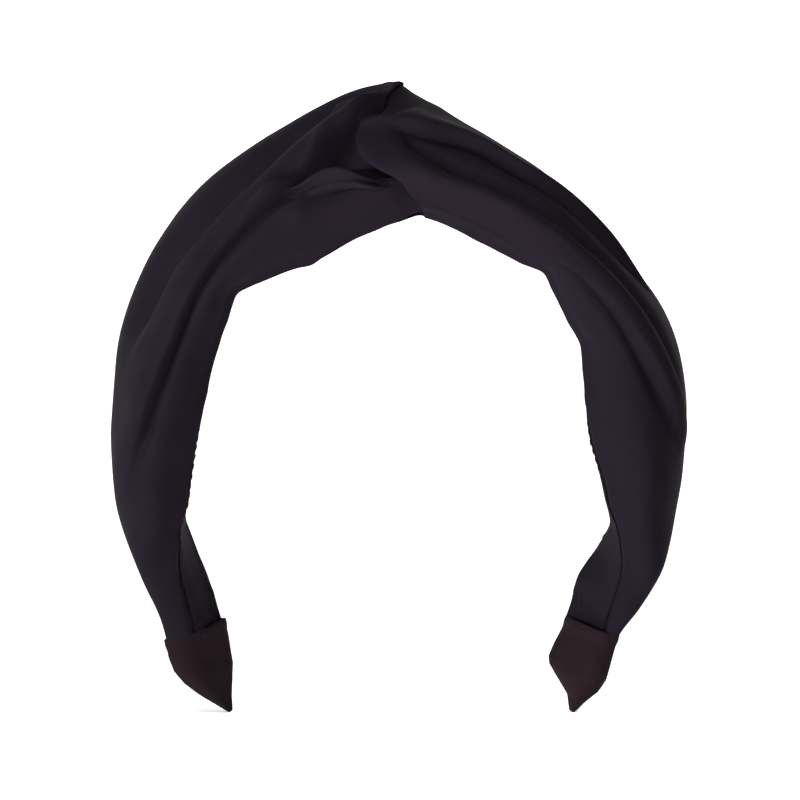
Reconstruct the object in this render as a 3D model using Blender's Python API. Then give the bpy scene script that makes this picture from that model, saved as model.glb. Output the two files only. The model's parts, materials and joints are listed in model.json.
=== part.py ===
"""Twist-knot headband: a springy core strip, foam, a fabric cover in two interlocked
panels, an inner lining and a pointed sleeve on each end. Metres, +Z up, tips on z = 0.
X runs across the head, Y front to back, -Y is the front edge of the band."""

import math

import bmesh
import bpy
from mathutils import Vector

MM = 0.001

# Hoop, along the inner face of the core
CROWN_RADIUS = 62.0 * MM      # arc over the head
CROWN_CENTRE_Z = 80.0 * MM    # height of that arc's centre above the tips
SIDE_RADIUS = 205.0 * MM      # flatter arc below the widest place

# Strip sizes: (share of the way from crown to tip, value)
COVER_WIDTH = [(0.0, 50 * MM), (0.3, 46 * MM), (0.6, 38 * MM), (0.74, 30 * MM),
               (0.82, 20.5 * MM), (0.88, 15.5 * MM), (0.92, 14.2 * MM), (1.0, 13.4 * MM)]
COVER_HEIGHT = [(0.0, 15 * MM), (0.18, 17 * MM), (0.3, 15.5 * MM), (0.6, 13 * MM),
                (0.74, 10 * MM), (0.84, 6.2 * MM), (0.9, 4.4 * MM), (1.0, 3.8 * MM)]
LEAN_DEG = [(0.0, 14), (0.5, 17), (0.66, 6), (0.8, -20), (0.9, -38), (1.0, -44)]
CORE_WIDTH = [(0.0, 30 * MM), (0.5, 26 * MM), (0.74, 19 * MM), (0.88, 10.5 * MM), (1.0, 6.5 * MM)]

CORE_THICKNESS = 1.4 * MM
LINING_THICKNESS = 0.8 * MM
COVER_WALL = 1.0 * MM
COVER_LAP = 3.0 * MM          # how far the cover folds in under each edge of the core
GAP = 0.3 * MM                # left between pieces that touch
FOAM_GAP = 0.5 * MM           # round the foam, which touches nothing hard
SQUARENESS = 0.9              # power on the padded section's sine and cosine, 1 for an ellipse
ARC_POINTS = 13
WIDEST_FOLD = 0.98            # most of the cover's half width that its flat fold may take
BASE_SHRINK = 0.95            # each further point along the foam's base lies this much nearer its middle

# Knot
KNOT_HALF_LENGTH = 15.0 * MM  # from the crown's middle to where the plain cover starts
KNOT_BASE = 8.9 * MM          # underside of the lowest strand above the core
KNOT_DROP = 3.2 * MM          # how much lower the strands lie at the knot's ends
STRAND_THICKNESS = 5.5 * MM
KNOT_LAYERS = 3
STRAND_SECTIONS = 7
STRAND_SIDES = 12
STRAND_PINCH = 0.12           # share of its width that a strand loses at its ends
UPPER_WIDTH = 28.0 * MM
UPPER_SLANT = 9.0 * MM        # how far the upper strand moves towards the back edge
RIGHT_WIDTH = 34.0 * MM
RIGHT_SLANT = 12.0 * MM
LOWER_WIDTH = 24.0 * MM
LOWER_ACROSS = 9.0 * MM       # how far the lower strand lies towards the front edge
TACK_RADIUS = 0.4 * MM
TACK_COUNT = 4
TACK_WIDTH = 12.0 * MM
TACK_LENGTH = 5.0 * MM

# End sleeves
CAP_LENGTH = 24.0 * MM
CAP_OVERLAP = 4.0 * MM        # cover and lining held inside the sleeve's mouth
CAP_WALL = 0.8 * MM
CAP_BULGE = 1.2 * MM          # extra width below the mouth
CAP_BULGE_END = 0.5           # share of the sleeve's length where the extra width ends
CAP_BLUNTNESS = 2.6           # power on the taper towards the point, higher for blunter
CAP_STATIONS = (0.93, 0.8, 0.65, 0.5, 0.34, 0.17, 0.0)
POCKET_EASE = 1.0 * MM        # room in the sleeve past the cover's end
POCKET_TAPER = 3.0 * MM       # length over which the pocket narrows to the core
SLEEVE_EASE = 0.25 * MM       # more room than the gap, as a cloth sleeve has
FOOT_WIDTH = 3.4 * MM
FOOT_THICKNESS = 2.6 * MM
CORE_END_CLEARANCE = 5.0 * MM  # from the core's end to the sleeve's point
STITCH_RADIUS = 0.3 * MM
STITCH_COUNT = 5
STITCH_LENGTH = 2.2 * MM
STITCHED_SHARE = 0.5          # part of the sleeve's width that the stitching covers

# Flexing places, where the hoop bends as it opens
FLEX_DISTANCE = 40.0 * MM     # along the core, from the crown's middle
FOAM_STOP = 9.0 * MM          # bare stretch between the foam's end and the sleeve
STATION_STEP = 6.0 * MM       # spacing of the sections along every strip
SHORTEST_STEP = 0.3           # share of that spacing kept free at a strip's ends
FLAT_DIVISIONS = 4            # faces across each flat side
FOAM_TAPER = 8.0 * MM         # length over which the foam thins towards the knot
FOAM_UNDER_KNOT = 0.2         # share of its height that is left under the knot
OPEN_DEG = 13.0
CLOSE_DEG = 4.0

MATERIALS = {
    "satin": ((0.018, 0.016, 0.026, 1), 0.55, 0.0),
    "lining": ((0.02, 0.018, 0.027, 1), 0.6, 0.0),
    "foam": ((0.05, 0.05, 0.055, 1), 0.95, 0.0),
    "core": ((0.03, 0.03, 0.032, 1), 0.45, 0.0),
    "suede": ((0.022, 0.014, 0.017, 1), 0.9, 0.0),
    "thread": ((0.03, 0.027, 0.036, 1), 0.7, 0.0),
}

LEFT = -1
RIGHT = 1


def hoop_length():
    """Length of one side of the hoop, from the crown's middle to z = 0."""
    return CROWN_RADIUS * math.pi / 2 + SIDE_RADIUS * math.asin(CROWN_CENTRE_Z / SIDE_RADIUS)


def smooth(table, share):
    """Value at a share of the way, eased between the table's stations."""
    if share <= table[0][0]:
        return table[0][1]
    for (a, low), (b, high) in zip(table, table[1:]):
        if share <= b:
            t = (share - a) / (b - a)
            t = t * t * (3 - 2 * t)
            return low + (high - low) * t
    return table[-1][1]


def hoop_point(distance, side):
    """Point, run direction and outward normal at a distance from the crown's middle."""
    crown = CROWN_RADIUS * math.pi / 2
    if distance <= crown:
        turn = distance / CROWN_RADIUS
        centre = Vector((0, 0, CROWN_CENTRE_Z))
        radius = CROWN_RADIUS
    else:
        turn = math.pi / 2 + (distance - crown) / SIDE_RADIUS
        centre = Vector((CROWN_RADIUS - SIDE_RADIUS, 0, CROWN_CENTRE_Z))
        radius = SIDE_RADIUS
    normal = Vector((math.sin(turn), 0, math.cos(turn)))
    point = centre + normal * radius
    run = Vector((math.cos(turn), 0, -math.sin(turn)))
    for v in (point, run, normal):
        v.x *= side
    return point, run, normal


def place(distance, side, across, out, along=0.0):
    """World point from strip coordinates: across the width (to the back), out from the core."""
    share = max(distance, 0.0) / hoop_length()
    point, run, normal = hoop_point(distance, side)
    lean = math.radians(smooth(LEAN_DEG, share))
    back = Vector((0, math.cos(lean), 0)) + normal * math.sin(lean)
    face = normal * math.cos(lean) - Vector((0, math.sin(lean), 0))
    return point + back * across + face * out + run * along


def height_over_core(distance, across, out):
    """Distance outwards from the flexing axis, in the hoop's own plane."""
    lean = math.radians(smooth(LEAN_DEG, distance / hoop_length()))
    return across * math.sin(lean) + out * math.cos(lean) - CORE_THICKNESS / 2


def flex_relief(distance, across, out):
    """Half of the wedge-shaped gap that lets the hoop open and close without touching."""
    height = height_over_core(distance, across, out)
    swing = OPEN_DEG if height > 0 else CLOSE_DEG
    return GAP / 2 + abs(height) * math.tan(math.radians(swing / 2)) * 1.08


def strip_ring(distance, side, outline, flex_end=0):
    """One ring of a strip; flex_end is +1 or -1 where it ends against a flexing gap."""
    ring = []
    for across, out in outline:
        along = flex_end * flex_relief(distance, across, out) if flex_end else 0.0
        ring.append(place(distance, side, across, out, along))
    return ring


def across_flat(from_edge, to_edge, out):
    """Points between two edges of a flat face, so that it can follow the hoop's twist."""
    return [(from_edge + (to_edge - from_edge) * i / FLAT_DIVISIONS, out)
            for i in range(1, FLAT_DIVISIONS)]


def flat_outline(width, low, high):
    """A flat strip with rounded edges."""
    radius = (high - low) / 2
    edge = width / 2 - radius
    right = [(edge, low), (edge + radius, low + radius), (edge, high)]
    left = [(-edge, high), (-edge - radius, low + radius), (-edge, low)]
    return right + across_flat(edge, -edge, high) + left + across_flat(-edge, edge, low)


def bulge_arc(width, base, top, start, count):
    """Crowned arc from one side to the other, squarer than an ellipse."""
    middle = (base + top) / 2
    points = []
    for i in range(count):
        angle = start + (math.pi - 2 * start) * i / (count - 1)
        cosine = math.cos(angle)
        sine = math.sin(angle)
        points.append((math.copysign(abs(cosine) ** SQUARENESS, cosine) * width / 2,
                       middle + math.copysign(abs(sine) ** SQUARENESS, sine) * (top - base) / 2))
    return points


def cover_start(distance):
    """Angle at which the cover's inside leaves the flat fold, just past the core's edge."""
    inner_width = smooth(COVER_WIDTH, distance / hoop_length()) - 2 * COVER_WALL
    past_core = (core_width(distance) / 2 + 2 * GAP) / (inner_width / 2)
    return -math.acos(min(past_core, WIDEST_FOLD) ** (1 / SQUARENESS))


def cover_arc(distance, inset):
    """Arc of the padded section, at a depth under the cover's outer face."""
    share = distance / hoop_length()
    low = inset - COVER_WALL - GAP
    arc = bulge_arc(smooth(COVER_WIDTH, share) - 2 * inset, low,
                    smooth(COVER_HEIGHT, share) - inset, cover_start(distance), ARC_POINTS)
    arc[0] = (arc[0][0], low)
    arc[-1] = (arc[-1][0], low)
    return arc


def cover_outline(distance):
    """C-shaped section of the cover: round the foam and in under the core's edges."""
    outer = cover_arc(distance, 0.0)
    inner = cover_arc(distance, COVER_WALL)
    lap = lap_edge(distance)
    return ([(lap, outer[0][1])] + outer + [(-lap, outer[0][1]), (-lap, inner[0][1])]
            + inner[::-1] + [(lap, inner[0][1])])


def raised_base(side_points, low):
    """One side of the foam's arc, from its middle down, with its lowest points kept at low."""
    kept = []
    for (across, out), (across_before, out_before) in zip(side_points[1:], side_points):
        if out < low < out_before:
            t = (out_before - low) / (out_before - out)
            kept.append((across_before + (across - across_before) * t, low))
        elif out <= low:
            kept.append((kept[-1][0] * BASE_SHRINK, low))
        else:
            kept.append((across, out))
    return kept


def foam_outline(distance):
    """Crowned foam between the core and the cover."""
    arc = cover_arc(distance, COVER_WALL + FOAM_GAP)
    low = CORE_THICKNESS + FOAM_GAP
    half = len(arc) // 2
    right = raised_base(arc[half::-1], low)[::-1]
    left = raised_base(arc[half:], low)
    return right + [arc[half]] + left + across_flat(left[-1][0], right[0][0], low)


def core_width(distance):
    return smooth(CORE_WIDTH, distance / hoop_length())


def lining_width(distance):
    return core_width(distance) - 2 * COVER_LAP


def lap_edge(distance):
    return lining_width(distance) / 2 + GAP


def sweep(bm, rings):
    """Closed body: the first ring's face, extruded from ring to ring."""
    slot = bm.verts.layers.int.get("slot") or bm.verts.layers.int.new("slot")
    first = [bm.verts.new(point) for point in rings[0]]
    for i, vert in enumerate(first):
        vert[slot] = i
    end = bm.faces.new(first)
    for number, ring in enumerate(rings[1:]):
        grown = bmesh.ops.extrude_face_region(bm, geom=[end])
        if number:
            bmesh.ops.delete(bm, geom=[end], context="FACES_ONLY")
        end = next(item for item in grown["geom"] if isinstance(item, bmesh.types.BMFace))
        for vert in end.verts:
            vert.co = ring[vert[slot]]


def make_object(name, material, bm, smooth_angle=35):
    bmesh.ops.recalc_face_normals(bm, faces=bm.faces[:])
    mesh = bpy.data.meshes.new(name)
    bm.to_mesh(mesh)
    bm.free()
    mesh.shade_smooth()
    mesh.set_sharp_from_angle(angle=math.radians(smooth_angle))
    mesh.materials.append(bpy.data.materials[material])
    made = bpy.data.objects.new(name, mesh)
    bpy.context.collection.objects.link(made)
    return made


def solid_from_rings(name, material, rings):
    bm = bmesh.new()
    sweep(bm, rings)
    return make_object(name, material, bm)


def stations(start, end):
    """Distances that every strip shares, so that layers follow each other, and the two ends."""
    first = math.floor(start / STATION_STEP) + 1
    shared = [i * STATION_STEP for i in range(first, math.ceil(end / STATION_STEP))]
    clear = STATION_STEP * SHORTEST_STEP
    return [start] + [d for d in shared if start + clear < d < end - clear] + [end]


def strip_rings(start, end, side, outline, start_flex=0, end_flex=0):
    """Rings from start to end along one side; outline(distance) gives the section."""
    rings = []
    for distance in stations(start, end):
        flex = start_flex if distance == start else end_flex if distance == end else 0
        rings.append(strip_ring(distance, side, outline(distance), flex))
    return rings


def mirrored(rings):
    """The same rings on the other side of the crown, from the middle outwards."""
    return [[Vector((-point.x, point.y, point.z)) for point in ring] for ring in rings]


def over_crown(outline):
    """Rings across the crown, from one flexing place to the other."""
    right = strip_rings(0.0, FLEX_DISTANCE, RIGHT, outline, 0, -1)
    return mirrored(right[:0:-1]) + right


def add_materials():
    for name, (colour, roughness, metallic) in MATERIALS.items():
        material = bpy.data.materials.new(name)
        material.use_nodes = True
        shader = material.node_tree.nodes["Principled BSDF"]
        shader.inputs["Base Color"].default_value = colour
        shader.inputs["Roughness"].default_value = roughness
        shader.inputs["Metallic"].default_value = metallic


def core_outline(distance):
    return flat_outline(core_width(distance), 0.0, CORE_THICKNESS)


def lining_outline(distance):
    low = -(GAP + LINING_THICKNESS)
    return flat_outline(lining_width(distance), low, -GAP)


def cap_mouth():
    return hoop_length() - CAP_LENGTH


def cover_end():
    return cap_mouth() + CAP_OVERLAP


def core_end():
    return hoop_length() - CORE_END_CLEARANCE


def make_crown():
    """Core, lining, foam and cover between the two flexing places."""
    solid_from_rings("core_crown", "core", over_crown(core_outline))
    solid_from_rings("lining_crown", "lining", over_crown(lining_outline))
    solid_from_rings("foam_crown", "foam", over_crown(crown_foam_outline))
    for side, name in ((LEFT, "left"), (RIGHT, "right")):
        rings = strip_rings(KNOT_HALF_LENGTH, FLEX_DISTANCE, side, cover_outline, 0, -1)
        solid_from_rings(f"cover_crown_{name}", "satin", rings)


def crown_foam_outline(distance):
    """Foam thins out under the knot, where the folded fabric takes its place."""
    past_knot = (distance - KNOT_HALF_LENGTH - FOAM_TAPER / 2) / FOAM_TAPER
    thin = FOAM_UNDER_KNOT + (1 - FOAM_UNDER_KNOT) * min(max(past_knot, 0.0), 1.0)
    narrow = math.sqrt(1 - (1 - thin) ** 2)
    low = CORE_THICKNESS + FOAM_GAP
    return [(across * narrow, low + (out - low) * thin)
            for across, out in foam_outline(distance)]


def make_arm(side, name):
    """Everything on one side of the hoop below its flexing place."""
    pieces = [("core", "core", core_end(), core_outline),
              ("lining", "lining", cover_end(), lining_outline),
              ("foam", "foam", cap_mouth() - FOAM_STOP, foam_outline),
              ("cover", "satin", cover_end(), cover_outline)]
    for piece, material, end, outline in pieces:
        rings = strip_rings(FLEX_DISTANCE, end, side, outline, 1)
        solid_from_rings(f"{piece}_{name}_arm", material, rings)
    make_cap(side, name)
    make_cap_stitches(side, name)


def sleeve_outline(width, low, high):
    """Closed section of a sleeve, the same kind as the cover's end that it holds."""
    arc = bulge_arc(width, low, high, cover_start(cap_mouth()), ARC_POINTS)
    arc[0] = (arc[0][0], low)
    arc[-1] = (arc[-1][0], low)
    return arc + across_flat(arc[-1][0], arc[0][0], low)


def cap_size(share):
    """Outer width, low and high of the sleeve, from its mouth (0) to its point (1)."""
    around = GAP + SLEEVE_EASE + CAP_WALL
    mouth = cap_mouth() / hoop_length()
    width = smooth(COVER_WIDTH, mouth) + 2 * around
    width += CAP_BULGE * math.sin(min(share / CAP_BULGE_END, 1.0) * math.pi)
    width = FOOT_WIDTH + (width - FOOT_WIDTH) * (1 - share ** CAP_BLUNTNESS)
    thin = 1 - share ** 2
    middle = CORE_THICKNESS / 2
    foot = FOOT_THICKNESS / 2
    low = -(COVER_WALL + GAP + around)
    high = smooth(COVER_HEIGHT, mouth) + around
    low = middle - foot + (low - middle + foot) * thin
    high = middle + foot + (high - middle - foot) * thin
    return width, low, high


def cap_ring(share, side, inset=0.0):
    width, low, high = cap_size(share)
    distance = cap_mouth() + CAP_LENGTH * share
    return strip_ring(distance, side, sleeve_outline(width - 2 * inset, low + inset, high - inset))


def make_cap(side, name):
    """Pointed sleeve: outside from the foot up to the mouth, then the pocket back down."""
    foot = cap_ring(1.0, side)
    for point in foot:
        point.z = 0.0
    outside = [cap_ring(share, side) for share in CAP_STATIONS]
    wide_end = (CAP_OVERLAP + POCKET_EASE) / CAP_LENGTH
    pocket = [cap_ring(share, side, CAP_WALL) for share in (0.0, wide_end / 2, wide_end)]
    around = GAP + SLEEVE_EASE
    for distance in (cap_mouth() + CAP_OVERLAP + POCKET_TAPER, core_end() + GAP):
        outline = sleeve_outline(core_width(distance) + 2 * around, -around, CORE_THICKNESS + around)
        pocket.append(strip_ring(distance, side, outline))
    solid_from_rings(f"end_sleeve_{name}", "suede", [foot] + outside + pocket)


def thread(name, points, radius):
    """One length of sewing thread along its points."""
    curve = bpy.data.curves.new(name, "CURVE")
    curve.dimensions = "3D"
    curve.bevel_depth = radius
    curve.bevel_resolution = 1
    curve.use_fill_caps = True
    spline = curve.splines.new("POLY")
    spline.points.add(len(points) - 1)
    for slot, point in zip(spline.points, points):
        slot.co = (*point, 1.0)
    curve.materials.append(bpy.data.materials["thread"])
    made = bpy.data.objects.new(name, curve)
    bpy.context.collection.objects.link(made)


def make_cap_stitches(side, name):
    """Overcast stitching that holds the sleeve, along its mouth on the inner face."""
    distance = cap_mouth() + STITCH_LENGTH
    width, low, _ = cap_size(STITCH_LENGTH / CAP_LENGTH)
    out = low - GAP - STITCH_RADIUS
    points = []
    for i in range(2 * STITCH_COUNT + 1):
        across = (i / (2 * STITCH_COUNT) - 0.5) * width * STITCHED_SHARE
        swing = STITCH_LENGTH / 2 if i % 2 else -STITCH_LENGTH / 2
        points.append(place(distance + swing, side, across, out))
    thread(f"sleeve_stitches_{name}", points, STITCH_RADIUS)


def knot_place(along, across, out):
    """Strip coordinates over the knot: along is signed, negative to the left."""
    side = RIGHT if along >= 0 else LEFT
    return place(abs(along), side, across, out)


def strand_rings(layer, left_across, right_across, width):
    """Flattened tube of gathered fabric that crosses the crown at a slant."""
    half = KNOT_HALF_LENGTH - GAP
    below = KNOT_LAYERS - 1 - layer
    top = KNOT_BASE + STRAND_THICKNESS / 2 + below * (STRAND_THICKNESS + GAP)
    rings = []
    for i in range(STRAND_SECTIONS):
        share = 2 * i / (STRAND_SECTIONS - 1) - 1
        middle = left_across + (right_across - left_across) * (share + 1) / 2
        out = top - KNOT_DROP * share ** 2
        pinch = 1 - STRAND_PINCH * share ** 2
        ring = []
        for j in range(STRAND_SIDES):
            angle = 2 * math.pi * j / STRAND_SIDES
            ring.append(knot_place(half * share, middle + math.cos(angle) * width / 2 * pinch,
                                   out + math.sin(angle) * STRAND_THICKNESS / 2))
        rings.append(ring)
    return rings


def make_knot():
    """Two interlocked loops: the right panel's strand between the left panel's two."""
    solid_from_rings("knot_left_upper", "satin",
                     strand_rings(0, -UPPER_SLANT / 2, UPPER_SLANT, UPPER_WIDTH))
    solid_from_rings("knot_right", "satin",
                     strand_rings(1, RIGHT_SLANT / 2, -RIGHT_SLANT / 2, RIGHT_WIDTH))
    solid_from_rings("knot_left_lower", "satin",
                     strand_rings(2, -LOWER_ACROSS, -LOWER_ACROSS, LOWER_WIDTH))
    make_knot_tack()


def make_knot_tack():
    """Thread that tacks the folded strands to the foam, under the knot."""
    points = []
    low = KNOT_BASE - GAP - KNOT_DROP - TACK_RADIUS
    for i in range(2 * TACK_COUNT + 1):
        across = (i / (2 * TACK_COUNT) - 0.5) * TACK_WIDTH
        along = TACK_LENGTH / 2 if i % 2 else -TACK_LENGTH / 2
        points.append(knot_place(along, across, low))
    thread("knot_tack", points, TACK_RADIUS)


def centre_front_to_back():
    """Put y = 0 midway between the band's front and back edges."""
    meshes = [item for item in bpy.data.objects if item.type == "MESH"]
    depths = [vert.co.y for item in meshes for vert in item.data.vertices]
    middle = (min(depths) + max(depths)) / 2
    for item in bpy.data.objects:
        item.location.y -= middle


def main():
    for item in list(bpy.data.objects):
        bpy.data.objects.remove(item, do_unlink=True)
    add_materials()
    make_crown()
    make_knot()
    for side, name in ((LEFT, "left"), (RIGHT, "right")):
        make_arm(side, name)
    centre_front_to_back()


main()
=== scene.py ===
import json
import math

import bmesh
import bpy
import numpy as np
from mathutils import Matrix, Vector

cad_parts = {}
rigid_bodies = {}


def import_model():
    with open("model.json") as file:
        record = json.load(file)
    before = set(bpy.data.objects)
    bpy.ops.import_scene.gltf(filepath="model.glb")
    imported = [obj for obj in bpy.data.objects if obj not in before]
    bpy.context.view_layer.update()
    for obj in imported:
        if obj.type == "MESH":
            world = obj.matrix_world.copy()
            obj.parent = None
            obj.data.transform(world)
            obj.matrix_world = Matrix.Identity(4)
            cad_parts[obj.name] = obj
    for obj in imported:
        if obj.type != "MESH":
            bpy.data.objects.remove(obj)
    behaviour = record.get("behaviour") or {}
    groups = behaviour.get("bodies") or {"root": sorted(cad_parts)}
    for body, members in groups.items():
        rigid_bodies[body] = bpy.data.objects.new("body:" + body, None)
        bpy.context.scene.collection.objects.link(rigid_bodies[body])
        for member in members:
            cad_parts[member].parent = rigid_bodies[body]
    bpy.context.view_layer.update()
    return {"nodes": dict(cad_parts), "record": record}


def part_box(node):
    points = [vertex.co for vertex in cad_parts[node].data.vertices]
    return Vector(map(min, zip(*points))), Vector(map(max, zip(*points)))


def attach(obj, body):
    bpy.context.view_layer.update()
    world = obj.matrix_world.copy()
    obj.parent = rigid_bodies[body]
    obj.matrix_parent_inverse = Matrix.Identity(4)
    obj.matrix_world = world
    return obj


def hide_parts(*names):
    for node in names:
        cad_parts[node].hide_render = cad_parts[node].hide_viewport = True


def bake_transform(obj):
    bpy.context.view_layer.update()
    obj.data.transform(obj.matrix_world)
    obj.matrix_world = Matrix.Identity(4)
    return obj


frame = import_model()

mm = 0.001


# the hoop is read from the frame
mounts = {m["name"]: m for m in frame["record"]["mounts"]}
joints = {j["name"]: j for j in frame["record"]["behaviour"]["joints"]}
strip = {                      # layers of the real band, in metres
    "coreThickness": 1.4 * mm,
    "liningDepth": 1.1 * mm,   # from the core's inner face to the lining's
    "coverDepth": 1.3 * mm,    # from the core's inner face to the cover's folded edge
}


def readHoop():
    pivotX, _, pivotZ = joints["right_arm_flex"]["pos_m"]
    top = mounts["head"]["pos_m"][2] + strip["liningDepth"] + strip["coreThickness"] / 2
    centreZ = (top ** 2 - pivotX ** 2 - pivotZ ** 2) / (2 * (top - pivotZ))
    radius = top - centreZ - strip["coreThickness"] / 2
    inward = radius - mounts["right_foot"]["pos_m"][0]
    sideRadius = (inward ** 2 + centreZ ** 2) / (2 * inward)
    low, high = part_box("lining_crown")
    return {"radius": radius, "centreZ": centreZ, "sideRadius": sideRadius,
            "middleY": (low[1] + high[1]) / 2,
            "length": radius * math.pi / 2 + sideRadius * math.asin(centreZ / sideRadius)}


hoop = readHoop()
print("hoop", {k: round(v, 4) for k, v in hoop.items()})


def hoopAt(along):
    # along is signed, in metres from the crown's middle, negative to the left
    along = np.asarray(along, float)
    side = np.where(along < 0, -1.0, 1.0)
    distance = np.abs(along)
    crown = hoop["radius"] * math.pi / 2
    onCrown = distance <= crown
    turn = np.where(onCrown, distance / hoop["radius"],
                    math.pi / 2 + (distance - crown) / hoop["sideRadius"])
    radius = np.where(onCrown, hoop["radius"], hoop["sideRadius"])
    centreX = np.where(onCrown, 0.0, hoop["radius"] - hoop["sideRadius"])
    normalX = np.sin(turn)
    normalZ = np.cos(turn)
    x = (centreX + normalX * radius) * side
    z = hoop["centreZ"] + normalZ * radius
    return x, z, normalX * side, normalZ


def table(points, along, blur=0.0):
    # value along the band from listed stations, softened over blur metres
    stations = np.array([p[0] for p in points]) * mm
    values = np.array([p[1] for p in points], float)
    if blur <= 0:
        return np.interp(along, stations, values)
    offsets = np.linspace(-1, 1, 9)
    weights = np.cos(offsets * math.pi / 2) ** 2
    total = sum(w * np.interp(along + o * blur, stations, values) for o, w in zip(offsets, weights))
    return total / weights.sum()


def easedShare(points, along):
    # the same easing between stations as the frame's own strips have
    share = np.abs(along) / hoop["length"]
    result = np.full(np.shape(share), float(points[-1][1]))
    result = np.where(share <= points[0][0], points[0][1], result)
    for (a, low), (b, high) in zip(points, points[1:]):
        t = np.clip((share - a) / (b - a), 0, 1)
        t = t * t * (3 - 2 * t)
        result = np.where((share > a) & (share <= b), low + (high - low) * t, result)
    return result


# what a user would change about the padded band's shape; stations in mm along the hoop
band = {
    "width": [(0.0, 50), (0.3, 46), (0.6, 38), (0.74, 30), (0.82, 20.5), (0.88, 15.5), (0.92, 14.2),
              (1.0, 13.4)],
    "height": [(0.0, 15), (0.18, 17), (0.3, 15.5), (0.6, 13), (0.74, 10), (0.84, 6.2), (0.9, 4.4),
               (1.0, 3.8)],
    "leanDeg": [(0.0, 14), (0.5, 17), (0.66, 6), (0.8, -20), (0.9, -38), (1.0, -44)],
    "coreWidth": [(0.0, 30), (0.5, 26), (0.74, 19), (0.88, 10.5), (1.0, 6.5)],
    "innerEdge": [(-159, -4.6), (-150, -4.2), (-144, -3.3), (-136, -1.6), (-128, -0.3), (-120, -3.3),
                  (-112, -4.9), (-104, -6.1), (-96, -7.3), (-88, -8.2), (-72, -8.2), (-64, -7.4),
                  (-56, -5.3), (-48, -8.1), (-40, -10.3), (-32, -12.7), (-24, -11.8), (-16, -10.5),
                  (-8, -9.4), (0, -7.6), (5.5, -5.4), (12, -6.4), (16, -7.1), (24, -8.2), (32, -8.1),
                  (40, -7.4), (47, -5.3), (52, -7.0), (58, -8.2), (64, -9.0), (72, -8.6), (80, -10.4),
                  (90, -11.5), (97, -11.1), (104, -10.1), (112, -7.8), (120, -5.4), (127, -2.9),
                  (136, -4.1), (144, -7.9), (150, -8.2), (159, -8.6)],
    "outerEdge": [(-159, 9.8), (-150, 9.5), (-144, 10.6), (-136, 12.0), (-128, 14.4), (-120, 16.1),
                  (-112, 16.5), (-104, 16.1), (-96, 15.9), (-88, 16.4), (-80, 17.3), (-72, 18.3),
                  (-64, 18.6), (-56, 18.9), (-48, 19.6), (-40, 20.3), (-32, 20.7), (-24, 21.6),
                  (-16, 23.9),
                  (-8, 26.5), (-3, 27.5), (0, 26.7), (4, 24.7), (8, 21.4), (12, 19.2), (16, 17.6),
                  (24, 15.2), (32, 14.0), (40, 12.8), (48, 11.6), (52, 11.3), (58, 11.6), (64, 12.5),
                  (72, 14.4),
                  (80, 15.3), (90, 15.5), (97, 15.7), (104, 15.1), (112, 14.6), (120, 13.7), (127, 13.1),
                  (136, 12.0), (144, 9.5), (150, 6.9), (154, 5.1), (159, 4.4)],
    "innerBlur": 2.5,          # the two edges above are softened over this much, mm each way
    "outerBlur": 6,
    "innerReach": (0.24, 0.13),    # how far round an edge's pull is felt, in half turns: front, back
    "outerReach": 0.45,
    "flatPast": 4,             # the underside is flat to this far past the core's edge
    "flatEase": 3,
    "lap": 3.0,                # cover folded in past the core's edge, each side
    "seam": 155.5,             # where the end sleeves start
}


def sectionAt(along, half=None, rise=None):
    # padded section's numbers at each distance, all in metres
    s = {"along": along}
    s["half"] = easedShare(band["width"], along) * mm / 2 if half is None else half
    top = easedShare(band["height"], along) * mm
    s["rise"] = (top + strip["coverDepth"]) / 2 if rise is None else rise
    s["middle"] = s["rise"] - strip["coverDepth"]
    s["lean"] = np.radians(easedShare(band["leanDeg"], along))
    s["core"] = easedShare(band["coreWidth"], along) * mm / 2
    s["lining"] = s["core"] - band["lap"] * mm
    sine, cosine = np.sin(s["lean"]), np.cos(s["lean"])
    reach = np.sqrt((s["half"] * sine) ** 2 + (s["rise"] * cosine) ** 2)
    s["phase"] = np.arctan2(s["rise"] * cosine, s["half"] * sine)
    innerEdge = table(band["innerEdge"], along, band["innerBlur"] * mm) * mm
    outerEdge = table(band["outerEdge"], along, band["outerBlur"] * mm) * mm
    s["pullIn"] = innerEdge - (s["middle"] * cosine - reach)
    s["pullOut"] = outerEdge - (s["middle"] * cosine + reach)
    s["arc"] = math.pi * np.sqrt((s["half"] ** 2 + s["rise"] ** 2) / 2)
    return s


def seen(s, angle):
    # 0 at the inner edge, 1 at the crest, 2 at the inner edge again past the back
    return (1 - (angle - s["phase"]) / math.pi) % 2.0


def bandPoint(s, angle, lift):
    # world points of the padded section at each angle, lifted out from its surface
    cosine, sine = np.cos(angle), np.sin(angle)
    across = s["half"] * cosine
    out = s["middle"] + s["rise"] * sine
    flat = -strip["coverDepth"]
    nearCore = np.clip((s["core"] + band["flatPast"] * mm - np.abs(across)) / (band["flatEase"] * mm), 0, 1)
    out = np.where(sine < 0, out + (np.minimum(out, flat) - out) * nearCore * nearCore, out)
    normalAcross = cosine / s["half"]
    normalOut = sine / s["rise"]
    length = np.sqrt(normalAcross ** 2 + normalOut ** 2)
    across = across + lift * normalAcross / length
    out = out + lift * normalOut / length
    t = seen(s, angle)
    fromInner = np.where(t > 1, t - 2, t)
    inner = np.exp(-(fromInner / np.where(fromInner > 0, *band["innerReach"])) ** 2)
    outer = np.exp(-((t - 1) / band["outerReach"]) ** 2)
    leanSine, leanCosine = np.sin(s["lean"]), np.cos(s["lean"])
    radial = across * leanSine + out * leanCosine + s["pullIn"] * inner + s["pullOut"] * outer
    y = hoop["middleY"] + across * leanCosine - out * leanSine
    x, z, normalX, normalZ = hoopAt(s["along"])
    return np.stack([x + normalX * radial, y, z + normalZ * radial], axis=-1)


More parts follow.
